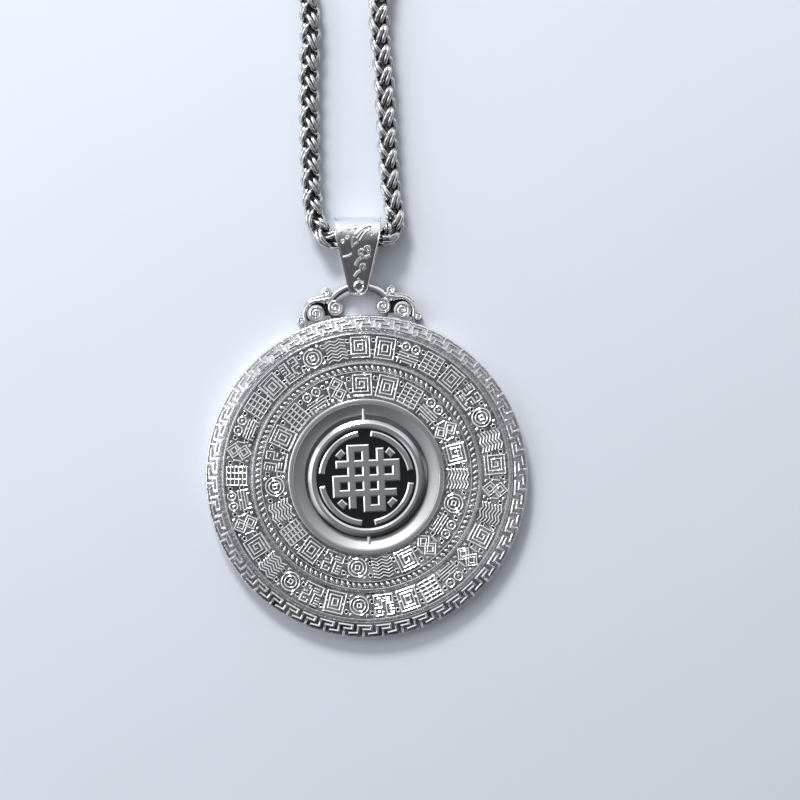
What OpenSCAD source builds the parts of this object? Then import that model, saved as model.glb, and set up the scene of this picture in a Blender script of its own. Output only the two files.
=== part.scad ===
// A round silver medallion with a turning centre disc, scroll shoulders, a tapered bail and a wheat chain.
// It lies on its back. The origin is the centre of the medallion's back face, +Y runs to the bail
// and +Z out of the decorated front.

/* [Medallion] */
// Outer diameter of the medallion
medallion_d = 42; // [41.6:0.2:42.4]
// Height of the polished lip round the hole above the back face
lip_z = 2.7; // [2.6:0.05:2.9]
// Height of the sunk ground of the two ornament bands
ground_z = 2.05; // [1.9:0.05:2.15]
// How far the ornaments stand above the ground
relief_h = 0.35; // [0.25:0.05:0.45]
// Number of key units in the border
fret_count = 50; // [40:1:52]
// Number of strands in the rope ring
rope_count = 120; // [90:1:130]
// Number of ornaments in the outer band
outer_band_count = 33; // [24:1:34]
// Number of ornaments in the inner band
inner_band_count = 23; // [18:1:24]

/* [Turning disc] */
// Outer radius of the turning disc
disc_r = 7.6; // [7.2:0.1:7.6]
// Thickness of the turning disc
disc_t = 1.5; // [1.4:0.1:1.7]
// How far the disc has slid down its pins
disc_drop = 0.2; // [0.1:0.05:0.25]
// Radius of the two pins
pin_r = 0.25; // [0.2:0.05:0.3]

/* [Shoulders] */
// Radius of the arc loop's centre line
loop_r = 4.84; // [4.6:0.02:5]
// Radius of the arc loop's round wire
loop_wire_r = 0.5; // [0.4:0.05:0.5]
// Height of the scrolls above the back face
scroll_z = 2; // [1.6:0.1:2.2]

/* [Bail] */
// Width of the bail at its top
bail_top_w = 6.1; // [5:0.1:6.4]
// Width of the bail at its foot
bail_foot_w = 2.6; // [2:0.1:3]
// Thickness of the bail's strap
bail_wall = 0.5; // [0.4:0.05:0.5]
// How far the bail has swung to the right on its loop, in degrees
bail_swing = 2.5; // [0:0.5:3]

/* [Chain] */
// Width of the chain across its links
chain_d = 2.8; // [2.6:0.1:2.8]
// Length of the barrel clasp
clasp_l = 11; // [9:0.5:13]

/* [Hidden] */
$fn = 96;

silver = "silver";
steel = "slategray";

// Radii of the medallion's rings, from the hole outwards
rim_r = medallion_d / 2;
hole_r = 7.95;
lip_in_r = 9.4;
lip_out_r = 10.15;
axle_z = 2;
inner_band = [10.3, 13.5];
rope_in_r = 13.85;
rope_out_r = 14.45;
rope_strand = [0.6, 0.28, 0.75];
rope_slant = 35;
outer_band = [15.2, 18.4];
border_in_r = 19.2;
border_in_z = 2.15;
border_out_z = 1.4;
groove_z = ground_z - 0.15;
ridge_z = ground_z + 0.35;
back_chamfer = 0.4;

// The sloping border that the key fret lies on
border_run = rim_r - border_in_r;
border_fall = border_in_z - border_out_z;
border_slope = atan(border_fall / border_run);
border_len = norm([border_run, border_fall]);
border_mid_r = border_in_r + border_run / 2;
border_mid_z = border_in_z - border_fall / 2;
fret_line_w = 0.32;
fret_h = 0.25;
relief_sink = 0.15;
stroke_w = 0.27;
ornament_kinds = 8;

// The turning disc's own heights, measured from its axle
disc_rim_in_r = 6.5;
disc_recess_z = 0.2;
disc_bar_z = disc_t / 2 - 0.1;
knot_pitch = 1.9;
knot_reach = 4.4;
knot_bar_w = 1;
pin_gap = 0.03;
pin_bore_len = 0.9;
pin_inner_y = disc_r - 0.6;
pin_outer_y = 9.65;
pin_seat_gap = 0.05;
collar_r = 0.36;
collar_l = 0.15;
collar_y = disc_r - disc_drop + pin_seat_gap + 0.1;

// The arc loop and the scrolls, for the right-hand shoulder: x, y, radius
loop_y = 20.1;
loop_z = 1.05;
loop_half_angle = 58;
shoulder_scrolls = [[4.2, 24.15, 0.68], [3.1, 22.1, 1.03], [5.7, 21.4, 0.88], [7.65, 20.55, 0.52]];
arch_centre = [5.3, 21.3];
arch_r = [1.2, 2.1];
arch_angles = [-35, 120];
scroll_wire = 0.16;

// The bail's side shape: two round bends, centre y and z, and outer radius
bail_top = [31.25, 2.5, 2.5];
bail_foot = [24.7, 1.1, 1.1];
bail_relief_h = 0.22;
bail_edge_h = 0.12;
bail_edge_w = 0.28;
bend_steps = 10;

// The chain's centre line, from the clasp down the left side, through the bail and up the right side
chain_route = [
    [-6, 241.5, 1.7], [-14, 239.5, 1.5], [-26, 233, 1.4], [-37, 221, 1.4], [-45, 204, 1.4],
    [-49, 185, 1.4], [-48, 166, 1.4], [-43, 147, 1.4], [-34, 127, 1.4], [-24, 107, 1.4],
    [-14.5, 89, 1.4], [-7.4, 74, 1.4], [-4.85, 62, 1.4], [-5.25, 52, 1.4], [-5.5, 43, 1.4],
    [-5.5, 37, 1.4], [-5.35, 34.4, 1.5], [-4.75, 32.6, 1.75], [-3.8, 31.3, 2.05], [-2.6, 30.9, 2.15],
    [-1.3, 30.9, 2.15], [0, 30.9, 2.15], [1.4, 30.9, 2.15], [2.9, 30.9, 2.15], [4.3, 31.25, 2.05],
    [5.1, 32.5, 1.65], [5.15, 34.4, 1.45], [4.8, 37, 1.4], [4.65, 43, 1.4], [4.55, 52, 1.4],
    [4.4, 62, 1.4], [7.1, 74, 1.4], [14.5, 89, 1.4], [24, 107, 1.4], [34, 127, 1.4],
    [43, 147, 1.4], [48, 166, 1.4], [49, 185, 1.4], [45, 204, 1.4], [37, 221, 1.4],
    [26, 233, 1.4], [14, 239.5, 1.5], [6, 241.5, 1.7]
];
chain_sides = 8;
clasp_r = 1.7;
clasp_y = 241.6;

// Plain helpers

function polar(r, a) = [r * cos(a), r * sin(a)];

// The unit vector from one 2D point to the next
function heading(a, b) = (b - a) / norm(b - a);
function left_of(v) = [-v[1], v[0]];

// The sideways step that keeps a stroke's width at point i of an open path
function mitre(path, i) =
    let (last = len(path) - 1,
         a = heading(path[max(i - 1, 0)], path[max(i - 1, 0) + 1]),
         b = heading(path[min(i, last - 1)], path[min(i, last - 1) + 1]),
         n = left_of(a) + left_of(b))
    n / (1 + left_of(a) * left_of(b));

// A stroke of even width along an open path
module stroke(path, width) {
    n = len(path);
    polygon([
        for (i = [0:n - 1]) path[i] + mitre(path, i) * width / 2,
        for (i = [n - 1:-1:0]) path[i] - mitre(path, i) * width / 2
    ]);
}

// A square frame with an open middle
module box_outline(size, width) {
    difference() {
        square(size, center = true);
        square([size[0] - 2 * width, size[1] - 2 * width], center = true);
    }
}

module ring_outline(r, width) {
    difference() {
        circle(r);
        circle(r - width);
    }
}

// The medallion's turned body

module medallion_body() {
    rotate_extrude()
        polygon([
            // cove and polished lip
            [hole_r, 0], [hole_r, lip_z - 1], [hole_r + 0.1, lip_z - 0.88],
            [lip_in_r, lip_z - 0.1], [lip_in_r + 0.1, lip_z],
            [lip_out_r - 0.1, lip_z], [lip_out_r, lip_z - 0.1], [lip_out_r + 0.05, ground_z],
            // inner band and its ridge
            [inner_band[1] + 0.05, ground_z], [inner_band[1] + 0.1, ridge_z],
            [inner_band[1] + 0.25, ridge_z], [inner_band[1] + 0.27, groove_z],
            // bed of the rope ring and the ridge outside it
            [rope_in_r, groove_z], [rope_in_r + 0.1, ground_z], [rope_out_r - 0.1, ground_z],
            [rope_out_r, groove_z], [rope_out_r + 0.1, groove_z], [rope_out_r + 0.12, ridge_z],
            [rope_out_r + 0.4, ridge_z], [rope_out_r + 0.45, groove_z],
            // outer band and its ridge
            [outer_band[0] - 0.1, groove_z], [outer_band[0] - 0.05, ground_z],
            [outer_band[1] + 0.02, ground_z], [outer_band[1] + 0.05, ridge_z],
            [outer_band[1] + 0.3, ridge_z], [outer_band[1] + 0.4, groove_z],
            // sloping border and back edge
            [border_in_r - 0.1, groove_z], [border_in_r, border_in_z], [rim_r, border_out_z],
            [rim_r, back_chamfer], [rim_r - back_chamfer, 0]
        ]);
}

// One unit of the key fret, on the slope: x runs down the slope, y along the rim
module fret_unit(unit_w) {
    foot = -border_len / 2 + fret_line_w / 2;
    level = (border_len - fret_line_w) / 3;
    path = [
        [foot + 3 * level, 0], [foot + level, 0], [foot + level, 0.4 * unit_w], [foot, 0.4 * unit_w],
        [foot, -0.28 * unit_w], [foot + 2 * level, -0.28 * unit_w], [foot + 2 * level, -0.78 * unit_w]
    ];
    linear_extrude(fret_h + relief_sink) stroke(path, fret_line_w);
}

module key_fret() {
    unit_w = 2 * PI * border_mid_r / fret_count;
    for (i = [0:fret_count - 1])
        rotate(i * 360 / fret_count)
            translate([border_mid_r, 0, border_mid_z])
                rotate([0, border_slope, 0])
                    translate([0, 0, -relief_sink])
                        fret_unit(unit_w);
}

// The rim line that the fret hangs from
module rim_line() {
    rotate_extrude()
        translate([rim_r, border_out_z])
            polygon([[-0.3, -0.3], [0, -0.3], [0, 0.12], [-0.1, 0.22], [-0.3, 0.28]]);
}

module rope_ring() {
    mid_r = (rope_in_r + rope_out_r) / 2;
    for (i = [0:rope_count - 1])
        rotate(i * 360 / rope_count)
            translate([mid_r, 0, groove_z - 0.1])
                rotate(rope_slant)
                    translate([-rope_strand[0] / 2, -rope_strand[1] / 2, 0])
                        cube(rope_strand);
}

// Ornaments for the bands, each 2.7 wide and 2.9 high and drawn upright round its middle

module upright_bars(xs, height) {
    for (x = xs) translate([x, 0]) square([stroke_w, height], center = true);
}

module level_bars(ys, width) {
    for (y = ys) translate([0, y]) square([width, stroke_w], center = true);
}

module corner_dots(x, y) {
    for (i = [-1, 1], j = [-1, 1]) translate([i * x, j * y]) square(0.36, center = true);
}

module square_spiral() {
    stroke([[-1.2, -1.3], [1.2, -1.3], [1.2, 1.3], [-1.2, 1.3], [-1.2, -0.75], [0.65, -0.75], [0.65, 0.75],
            [-0.65, 0.75], [-0.65, -0.2], [0.1, -0.2]], stroke_w);
}

module lattice() {
    upright_bars([-1.2, 0, 1.2], 2.87);
    level_bars([-1.3, -0.65, 0, 0.65, 1.3], 2.6);
}

module coin() {
    ring_outline(1.3, stroke_w);
    box_outline([1.15, 1.15], stroke_w);
    corner_dots(1.1, 1.2);
}

module lozenges() {
    for (y = [-0.6, 0.6])
        translate([0, y]) rotate(45) {
            box_outline([1.5, 1.5], stroke_w);
            square(0.4, center = true);
        }
    corner_dots(1.05, 1.2);
    for (x = [-1.15, 1.15]) translate([x, 0]) square([0.36, 0.7], center = true);
}

module nested_boxes() {
    box_outline([2.65, 2.9], stroke_w);
    box_outline([1.55, 1.8], stroke_w);
    square([0.5, 0.75], center = true);
}

module waves() {
    for (y = [-1.15, -0.58, 0, 0.58, 1.15])
        translate([0, y])
            stroke([[-1.3, -0.17], [-0.65, 0.17], [0, -0.17], [0.65, 0.17], [1.3, -0.17]], 0.25);
}

module cloud_pair() {
    for (x = [-0.68, 0.68]) translate([x, 0.78]) ring_outline(0.66, stroke_w);
    level_bars([-0.2], 2.7);
    stroke([[-1.2, -1.45], [-1.2, -0.72], [1.2, -0.72], [1.2, -1.45]], stroke_w);
    translate([0, -1.2]) square([1.4, stroke_w], center = true);
    for (x = [-0.68, 0.68]) translate([x, 0.78]) square(0.3, center = true);
}

module double_hook() {
    stroke([[-1.2, 1.35], [-0.35, 1.35], [-0.35, -0.3], [-1.2, -0.3], [-1.2, -1.3], [1.2, -1.3],
            [1.2, -0.75]], stroke_w);
    stroke([[0.3, -0.75], [0.3, 0.35], [1.2, 0.35], [1.2, 1.3], [0.3, 1.3], [0.3, 0.85]], stroke_w);
    for (y = [0.3, 0.85]) translate([-0.95, y]) square([0.5, stroke_w], center = true);
    translate([-0.3, -0.8]) square([0.8, stroke_w], center = true);
}

module ornament(k) {
    if (k == 0) square_spiral();
    if (k == 1) lattice();
    if (k == 2) coin();
    if (k == 3) lozenges();
    if (k == 4) nested_boxes();
    if (k == 5) waves();
    if (k == 6) cloud_pair();
    if (k == 7) double_hook();
}

// A band of ornaments round the hole, feet towards the middle, taken in turn from the eight
module ornament_band(band, count, step) {
    mid_r = (band[0] + band[1]) / 2;
    for (i = [0:count - 1])
        rotate(i * 360 / count)
            translate([0, mid_r, ground_z - relief_sink])
                linear_extrude(relief_h + relief_sink)
                    ornament((i * step + floor(i / ornament_kinds)) % ornament_kinds);
}

// The shoulders

module arc_loop() {
    translate([0, loop_y, loop_z])
        rotate(90 - loop_half_angle)
            rotate_extrude(angle = 2 * loop_half_angle)
                translate([loop_r, 0])
                    circle(loop_wire_r, $fn = 32);
}

module scroll(s) {
    translate([s[0], s[1], 0]) {
        cylinder(r = s[2], h = scroll_z - 0.3);
        translate([0, 0, scroll_z - 0.4])
            linear_extrude(0.4) ring_outline(s[2] - 0.04, 2 * scroll_wire);
        cylinder(r = 0.3 * s[2], h = scroll_z - 0.05);
    }
}

module shoulder_arch() {
    translate([arch_centre[0], arch_centre[1], 0])
        rotate(arch_angles[0])
            rotate_extrude(angle = arch_angles[1] - arch_angles[0])
                polygon([
                    [arch_r[0], 0], [arch_r[1], 0], [arch_r[1], scroll_z - 0.3], [arch_r[1] - 0.12, scroll_z],
                    [arch_r[1] - 0.3, scroll_z], [arch_r[1] - 0.4, scroll_z - 0.25],
                    [arch_r[0] + 0.32, scroll_z - 0.25], [arch_r[0] + 0.25, scroll_z - 0.05],
                    [arch_r[0] + 0.1, scroll_z - 0.05], [arch_r[0], scroll_z - 0.3]
                ]);
}

// A thin plate behind the scrolls, down to the medallion's rim
module shoulder_plate() {
    linear_extrude(0.7)
        polygon([
            [2.6, 20.4], [2.7, 22.4], [3.6, 24.1], [4.6, 24.2], [5.6, 22.8], [6.8, 22], [7.2, 20.6], [7.3, 19]
        ]);
}

module shoulder() {
    for (s = shoulder_scrolls) scroll(s);
    shoulder_arch();
    shoulder_plate();
}

module pin_seat(side) {
    rotate([-90 * side, 0, 0])
        translate([0, 0, hole_r - 0.5])
            cylinder(r = pin_r + pin_gap, h = pin_outer_y + pin_seat_gap - hole_r + 0.5, $fn = 32);
}

module medallion() {
    color(silver)
        difference() {
            union() {
                medallion_body();
                rim_line();
                key_fret();
                rope_ring();
                ornament_band(inner_band, inner_band_count, 3);
                ornament_band(outer_band, outer_band_count, 5);
                arc_loop();
                shoulder();
                mirror([1, 0, 0]) shoulder();
            }
            translate([0, 0, axle_z]) {
                pin_seat(1);
                pin_seat(-1);
            }
        }
}

// The turning disc, drawn round its axle

module disc_body() {
    edge_z = 0.42;
    crest_z = disc_t / 2;
    rotate_extrude()
        polygon([
            [0, -crest_z + 0.3], [disc_rim_in_r - 0.3, -crest_z + 0.3], [disc_rim_in_r, -crest_z],
            [disc_r - 0.5, -crest_z], [disc_r, -edge_z], [disc_r, edge_z], [disc_r - 0.5, crest_z],
            [disc_rim_in_r + 0.25, crest_z], [disc_rim_in_r, crest_z - 0.2],
            [disc_rim_in_r - 0.02, disc_recess_z], [0, disc_recess_z]
        ]);
}

// A closed knot of flat bars: three bars each way, joined in pairs by square loops, with arcs round it
module knot_lattice() {
    for (s = [-1, 0, 1]) {
        bar_len = 2 * knot_reach - knot_bar_w * abs(s);
        translate([s * knot_pitch, 0]) square([knot_bar_w, bar_len], center = true);
        translate([0, s * knot_pitch]) square([bar_len, knot_bar_w], center = true);
    }
    for (a = [0, 90, 180, 270])
        rotate(a) {
            translate([-knot_pitch / 2, knot_reach - knot_bar_w / 2])
                square([knot_pitch + knot_bar_w, knot_bar_w], center = true);
            rotate(45) {
                arc_bar(5.45, 6.2, 37);
                arc_bar(4.15, 5, 7);
            }
        }
}

// A flat arc between two radii, reaching half the stated angle to each side
module arc_bar(in_r, out_r, half) {
    steps = 6;
    polygon([
        for (i = [-steps:steps]) polar(out_r, half * i / steps),
        for (i = [steps:-1:-steps]) polar(in_r, half * i / steps)
    ]);
}

module pin_socket(side) {
    rotate([-90 * side, 0, 0])
        translate([0, 0, disc_r - pin_bore_len])
            cylinder(r = pin_r + pin_gap, h = pin_bore_len + 1, $fn = 32);
}

module turning_disc() {
    color(silver)
        translate([0, -disc_drop, axle_z])
            difference() {
                union() {
                    disc_body();
                    translate([0, 0, disc_recess_z - 0.1])
                        linear_extrude(disc_bar_z - disc_recess_z + 0.1) knot_lattice();
                }
                pin_socket(1);
                pin_socket(-1);
            }
}

module pin(side) {
    translate([0, 0, axle_z])
        rotate([-90 * side, 0, 0])
            translate([0, 0, pin_inner_y])
                cylinder(r = pin_r, h = pin_outer_y - pin_inner_y, $fn = 32);
}

module upper_pin() {
    color(silver) {
        pin(1);
        translate([0, collar_y, axle_z])
            rotate([-90, 0, 0]) cylinder(r = collar_r, h = collar_l, $fn = 32);
    }
}

module lower_pin() {
    color(silver) pin(-1);
}

// The bail

// The outline of two round bends joined by straight sides, drawn in the side view and grown by g
function bend_outline(top, foot, g) =
    let (d = [foot[0] - top[0], foot[1] - top[1]],
         base = atan2(d[1], d[0]),
         swing = acos((top[2] - foot[2]) / norm(d)),
         spread = 360 - 2 * swing)
    concat(
        [for (i = [0:2 * bend_steps])
            [top[0], top[1]] + polar(top[2] + g, base + swing + spread * i / (2 * bend_steps))],
        [for (i = [0:bend_steps])
            [foot[0], foot[1]] + polar(foot[2] + g, base - swing + 2 * swing * i / bend_steps)]
    );

// The side outline drawn out across the bail's width
module bail_slab(g, w) {
    rotate([90, 0, 90])
        translate([0, 0, -w / 2])
            linear_extrude(w) polygon(bend_outline(bail_top, bail_foot, g));
}

// The bail's tapered outline seen from the front, with a rounded foot
module bail_front() {
    foot_y = bail_foot[0] - bail_foot[2];
    top_y = bail_top[0] + bail_top[2] + 0.5;
    foot_round = 0.8;
    polygon(concat(
        [[bail_top_w / 2, top_y], [-bail_top_w / 2, top_y], [-bail_top_w / 2 + 0.15, bail_top[0]]],
        [for (a = [-80:20:80]) [bail_foot_w / 2 * sin(a), foot_y + foot_round * (1 - cos(a))]],
        [[bail_top_w / 2 - 0.15, bail_top[0]]]
    ));
}

// A curl that winds inwards round a point, from an outer to an inner radius
module curl(at, r_out, r_in, from, turn, width) {
    steps = 12;
    stroke([
        for (i = [0:steps]) at + polar(r_out + (r_in - r_out) * i / steps, from + turn * i / steps)
    ], width);
}

// The cloud scrolls on the bail's front, from the foot up: a swirl, two clouds with tails, a leaf, drops
module bail_clouds() {
    curl([0.25, 24.65], 0.72, 0.2, 60, 420, 0.24);
    curl([0.7, 27.15], 0.45, 0.18, 200, -400, 0.2);
    curl([0.1, 26.8], 0.36, 0.15, 330, -330, 0.2);
    stroke([[-0.1, 26.65], [-0.3, 26.4], [-0.4, 26.1]], 0.3);
    curl([1.2, 29.25], 0.52, 0.2, 180, -420, 0.22);
    curl([0.35, 28.75], 0.5, 0.2, 30, 400, 0.22);
    stroke([[0.1, 28.45], [-0.25, 28.1], [-0.45, 27.5]], 0.42);
    stroke([[1.7, 32.5], [0.9, 32.35], [0.1, 31.9], [-0.45, 31.3], [-0.65, 30.6], [-0.6, 29.9]], 0.24);
    stroke([[-0.6, 29.9], [0, 30.3], [0.5, 31], [1.1, 31.7], [1.7, 32.5]], 0.24);
    stroke([[-0.2, 30.7], [0.25, 31.3], [0.8, 31.9]], 0.3);
    stroke([[-1.95, 28.5], [-1.3, 28.6], [-0.75, 28.85]], 0.25);
    for (p = [[-1.8, 30.3], [-2, 31.5], [-1.3, 32.6], [-2.3, 32.7], [1.6, 31.2]])
        translate(p) circle(0.3, $fn = 24);
}

// The raised edges down the bail's two sides
module bail_edges() {
    difference() {
        bail_front();
        offset(delta = -bail_edge_w) bail_front();
    }
}

// A relief of the given height on the upper half of the bail's strap, cut to a flat outline
module bail_relief(height) {
    intersection() {
        difference() {
            bail_slab(height, bail_top_w + 2);
            bail_slab(-bail_wall / 2, bail_top_w + 4);
        }
        translate([0, 0, bail_foot[1]]) linear_extrude(6) children();
    }
}

module bail_strap() {
    difference() {
        intersection() {
            bail_slab(0, bail_top_w + 2);
            translate([0, 0, -1]) linear_extrude(8) bail_front();
        }
        bail_slab(-bail_wall, bail_top_w + 4);
    }
}

// The whole bail, swung aside about the middle of its foot
module bail() {
    color(silver)
        translate([0, bail_foot[0], 0])
            rotate(-bail_swing)
                translate([0, -bail_foot[0], 0]) {
                    bail_strap();
                    bail_relief(bail_relief_h) bail_clouds();
                    bail_relief(bail_edge_h) bail_edges();
                }
}

// The chain's outer form

// A smooth point between route points b and c
function between(a, b, c, d, t) =
    0.5 * (2 * b + (c - a) * t + (2 * a - 5 * b + 4 * c - d) * t * t + (3 * b - a - 3 * c + d) * t * t * t);

function smooth_route(p) =
    let (n = len(p) - 1)
    concat(
        [for (i = [0:n - 1], t = norm(p[i + 1] - p[i]) > 9 ? [0, 0.5] : [0])
            between(p[max(i - 1, 0)], p[i], p[i + 1], p[min(i + 2, n)], t)],
        [p[n]]
    );

function unit3(v) = v / norm(v);

module swept_tube(p, r, sides) {
    n = len(p);
    rings = [
        for (i = [0:n - 1])
            let (along = unit3(p[min(i + 1, n - 1)] - p[max(i - 1, 0)]),
                 side = unit3(cross(along, [0, 0, 1])),
                 up = cross(side, along))
            for (k = [0:sides - 1])
                p[i] + r * (side * cos((k + 0.5) * 360 / sides) + up * sin((k + 0.5) * 360 / sides))
    ];
    polyhedron(
        rings,
        concat(
            [[for (k = [sides - 1:-1:0]) k]],
            [for (i = [0:n - 2], k = [0:sides - 1])
                let (next = (k + 1) % sides)
                [i * sides + next, (i + 1) * sides + next, (i + 1) * sides + k, i * sides + k]],
            [[for (k = [0:sides - 1]) (n - 1) * sides + k]]
        )
    );
}

module chain() {
    color(steel) swept_tube(smooth_route(chain_route), chain_d / 2 / cos(180 / chain_sides), chain_sides);
}

module clasp() {
    color(steel)
        translate([-clasp_l / 2, clasp_y, clasp_r])
            rotate([0, 90, 0])
                rotate_extrude()
                    polygon([
                        [0, 0], [clasp_r - 0.5, 0], [clasp_r, 0.8], [clasp_r, clasp_l / 2 - 0.2],
                        [clasp_r - 0.15, clasp_l / 2], [clasp_r, clasp_l / 2 + 0.2], [clasp_r, clasp_l - 0.8],
                        [clasp_r - 0.5, clasp_l], [0, clasp_l]
                    ]);
}

medallion();
turning_disc();
upper_pin();
lower_pin();
bail();
chain();
clasp();
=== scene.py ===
"""A round holed silver medallion on a wheat chain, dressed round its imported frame.

The shapes are drawn in millimetres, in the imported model's own directions, and each piece is scaled to metres
when it is finished. The medallion lies on its back: +Y runs to the bail and +Z out of the decorated front.
"""

import bisect
import math

import bmesh
import bpy
from bpy.props import FloatProperty, FloatVectorProperty, IntProperty, PointerProperty
from mathutils import Matrix, Vector


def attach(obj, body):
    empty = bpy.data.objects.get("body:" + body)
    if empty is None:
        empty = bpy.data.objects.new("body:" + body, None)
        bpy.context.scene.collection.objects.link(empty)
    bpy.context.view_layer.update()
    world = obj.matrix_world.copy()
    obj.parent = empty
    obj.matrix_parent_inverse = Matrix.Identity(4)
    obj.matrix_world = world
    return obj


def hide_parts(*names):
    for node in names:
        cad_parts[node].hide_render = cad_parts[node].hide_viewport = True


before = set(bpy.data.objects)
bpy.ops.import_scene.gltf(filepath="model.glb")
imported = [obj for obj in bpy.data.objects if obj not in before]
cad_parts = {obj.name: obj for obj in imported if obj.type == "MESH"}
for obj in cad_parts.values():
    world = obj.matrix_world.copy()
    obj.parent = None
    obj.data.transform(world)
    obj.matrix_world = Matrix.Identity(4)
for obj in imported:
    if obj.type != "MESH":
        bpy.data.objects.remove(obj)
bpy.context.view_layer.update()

bl_info = {
    "name": "Medallion Pendant Dresser",
    "version": (1, 0, 0),
    "blender": (4, 5, 0),
    "location": "View3D > Sidebar > Pendant",
    "description": "Builds the pieces, materials and stage of a medallion pendant round its packed frame",
    "category": "Add Mesh",
}

MM = 0.001

# The medallion's rings, as in its solid: radii from the hole outwards and heights above the back face
RIM_R = 21.0
HOLE_R = 7.95
LIP_IN_R = 9.4
LIP_OUT_R = 10.15
LIP_Z = 2.7
LIP_CHAMFER = (0.08, 0.1)
GROUND_Z = 2.05
GROOVE_Z = 1.9
RIDGE_Z = 2.4
INNER_BAND = (10.3, 13.5)
ROPE_IN_R = 13.85
ROPE_OUT_R = 14.45
OUTER_BAND = (15.2, 18.4)
BORDER_IN_R = 19.2
BORDER_IN_Z = 2.15
BORDER_OUT_Z = 1.4
BACK_CHAMFER = 0.4
AXLE_Z = 2.0

# The turned ridges on both sides of the rope and outside the outer band: radii of the foot, top, top and foot
ROPE_IN_RIDGE = (13.55, 13.6, 13.75, 13.8)
ROPE_OUT_RIDGE = (14.53, 14.57, 14.85, 14.91)
BAND_RIDGE = (18.42, 18.46, 18.7, 18.8)

# The cove from the hole outwards, as how far outside the hole and how far under the lip's top
COVE = ((0, 1), (0.1, 0.88), (0.75, 0.55))
COVE_UNDER_LIP = 0.06

# The sloping border and its fret, with the line along the rim as (inside the rim, above the border's foot)
BORDER_RUN = RIM_R - BORDER_IN_R
BORDER_FALL = BORDER_IN_Z - BORDER_OUT_Z
BORDER_SLOPE = math.atan2(BORDER_FALL, BORDER_RUN)
BORDER_LEN = math.hypot(BORDER_RUN, BORDER_FALL)
BORDER_EDGE_W = 0.3
BORDER_EDGE = ((0.27, 0.3), (0.1, 0.24), (0, 0.1))
FRET_LINE_W = 0.32
FRET_H = 0.25
FRET_CHAMFER = 0.12

# The relief: how deep it is sunk into its ground, the rope's beads, and the square sockets between ornaments
RELIEF_SINK = 0.15
BEAD_RADII = (0.43, 0.24, 0.36)
BEAD_SLANT = 35
BEAD_LIFT = 0.08
SOCKET_W = 0.62
SOCKET_LINE_W = 0.14
SOCKET_H = 0.22
# The socket's floor is a thin plate painted dark: painted shade in the socket
SOCKET_FLOOR_W = 0.5
SOCKET_FLOOR_H = 0.02
SOCKET_PLACES = (-0.55, 0.95)

# The painted shade: the height up to which the medallion's side is left bright, how much darker the shade
# painted on its front gets with each millimetre towards the foot, and how dark the shade painted on the
# border's ground, in the rope's bed and in the grooves is
SIDE_Z = 1.0
BORDER_FADE = 0.013
BAND_FADE = 0.003
BORDER_DARK = 0.63
ROPE_BED_DARK = 0.75
GROOVE_DARK = 0.45

# How the painted shade clears up the relief, as (darkness at the foot, height of the foot, rise that
# clears it by 1)
PAINTED_SHADE = {
    "grounds": (0.77, GROUND_Z, 0.35),
    "rope_ring": (0.85, GROUND_Z - 0.05, 0.2),
    "ornaments": (0.83, GROUND_Z, 0.27),
    "socket_squares": (1.0, GROUND_Z + 0.03, 0.15),
    "shoulder_scrolls": (1.0, 1.0, 0.35),
}

# The turning disc, with heights above its axle, and the arcs round its knot as (inner radius, outer radius,
# half angle, steps)
DISC_R = 7.6
DISC_T = 1.5
DISC_EDGE = 0.5
DISC_EDGE_Z = 0.42
DISC_BACK_DEPTH = 0.3
DISC_DROP = 0.2
DISC_RIM_IN_R = 6.5
DISC_RIM_CHAMFER = (0.25, 0.2)
DISC_RECESS_Z = 0.2
DISC_BAR_Z = 0.65
KNOT_PITCH = 1.9
KNOT_REACH = 4.4
KNOT_BAR_W = 1.0
KNOT_CHAMFER = 0.16
KNOT_SINK = 0.1
KNOT_ARCS = ((5.45, 6.2, 37, 12), (4.15, 5.0, 7, 4))

# The arc loop, and the right shoulder: scrolls as (x, y, radius, turns, how far the base stands out), arched
# wires as (first point, radius, wire radius, angles) and slabs as (height, chamfer, outline)
LOOP_R = 4.84
LOOP_WIRE_R = 0.5
LOOP_CENTRE = (0.0, 20.1, 1.05)
LOOP_HALF_ANGLE = 58
SCROLL_Z = 2.0
SCROLL_WIRE_R = 0.12
SCROLLS = (
    (4.2, 24.15, 0.66, 1.6, -0.06), (3.1, 22.1, 1.03, 1.6, -0.06), (5.65, 21.45, 0.96, 1.6, 0.18),
    (7.65, 20.55, 0.54, 1.1, -0.06),
)
ARCH_CENTRE = (5.3, 21.3)
ARCH_R = 1.85
ARCH_W = 0.5
ARCH_ANGLES = (-35, 120)
ARCH_WIRES = (((3.75, 23.4), 1.86, 0.24, (97, -22)), ((3.9, 23.85), 2.2, 0.14, (88, 30)))
SHOULDER_SLABS = (
    (0.7, 0.08, ((4.2, 21), (4.2, 23.3), (5.4, 23), (6.6, 22.5), (7, 21.4), (7, 20.5))),
    (1.35, 0.13, ((3.3, 20.3), (3.7, 21.2), (4.6, 21.3), (5.2, 20.8), (7.2, 20.6), (7.3, 19.2))),
)

# The bail, with the centre y, centre z and outer radius of the two bends of its side shape
BAIL_TOP = (31.25, 2.5, 2.5)
BAIL_FOOT = (24.7, 1.1, 1.1)
BAIL_WALL = 0.5
BAIL_WEAR_R = 0.06
BAIL_TOP_W = 6.1
BAIL_WIDEST_Y = 34.5
BAIL_FOOT_W = 2.6
BAIL_FOOT_ROUND = 0.8
BAIL_FOOT_ANGLE = 80
BAIL_SWING = 2.5
BAIL_EDGE_R = 0.09
BAIL_EDGE_IN = 0.08
BAIL_FOOT_EDGE_IN = 0.12
BAIL_EDGE_SPAN = (24.15, 33.55)

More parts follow.
